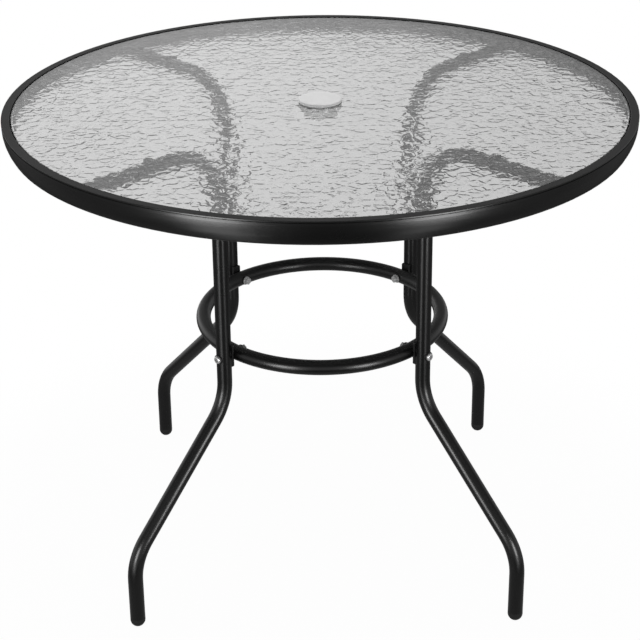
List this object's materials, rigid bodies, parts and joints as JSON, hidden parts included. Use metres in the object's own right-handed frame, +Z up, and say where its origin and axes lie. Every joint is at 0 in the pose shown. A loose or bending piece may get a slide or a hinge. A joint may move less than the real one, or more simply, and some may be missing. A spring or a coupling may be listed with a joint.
{
  "type": "umbrella table",
  "caption": "Round patio table: rippled glass in a black steel rim on bent tube legs tied by a ring, with a capped umbrella hole.",
  "frame": {"origin": "on the floor, under the middle of the round top", "axes": "+Z up; -Y is the front, between two of the legs, and +X is to the right of it"},
  "size_m": [0.9144, 0.9144, 0.7142],
  "materials": {
    "powder_coat": "satin black powder coat",
    "rippled_glass": "water-wave tempered glass",
    "gasket_vinyl": "soft black vinyl",
    "clear_plastic": "translucent moulded plastic",
    "cap_plastic": "translucent moulded plastic",
    "black_plastic": "fine moulded grain",
    "zinc_steel": "bright zinc plate",
    "rubber": "matt rubber"
  },
  "bodies": {
    "table": {"rim_band": "powder_coat", "glass_gasket": "gasket_vinyl", "glass_top": "rippled_glass", "umbrella_ring": "clear_plastic", "umbrella_ring_washer": "clear_plastic", "umbrella_ring_nut": "clear_plastic", "ring_stretcher": "powder_coat", "leg_front_left": "powder_coat", "leg_front_right": "powder_coat", "leg_rear_right": "powder_coat", "leg_rear_left": "powder_coat", "foot_cap_front_left": "black_plastic", "foot_cap_front_right": "black_plastic", "foot_cap_rear_right": "black_plastic", "foot_cap_rear_left": "black_plastic", "ring_spacer_front_left": "black_plastic", "ring_spacer_front_right": "black_plastic", "ring_spacer_rear_right": "black_plastic", "ring_spacer_rear_left": "black_plastic", "rim_spigot_front_left": "powder_coat", "rim_spigot_front_right": "powder_coat", "rim_spigot_rear_right": "powder_coat", "rim_spigot_rear_left": "powder_coat", "glass_pad_front_left": "rubber", "glass_pad_front_right": "rubber", "glass_pad_rear_right": "rubber", "glass_pad_rear_left": "rubber", "stretcher_bolts": "zinc_steel", "stretcher_nuts": "zinc_steel", "stretcher_outer_washers": "black_plastic", "stretcher_inner_washers": "black_plastic", "arm_screws": "zinc_steel", "arm_screw_washers": "black_plastic"},
    "cap": {"umbrella_cap": "cap_plastic"}
  },
  "joints": [
    {"name": "cap_lift", "type": "slide", "parent": "table", "child": "cap", "axis": [0, 0, 1], "range_m": [0, 0.04]}
  ]
}
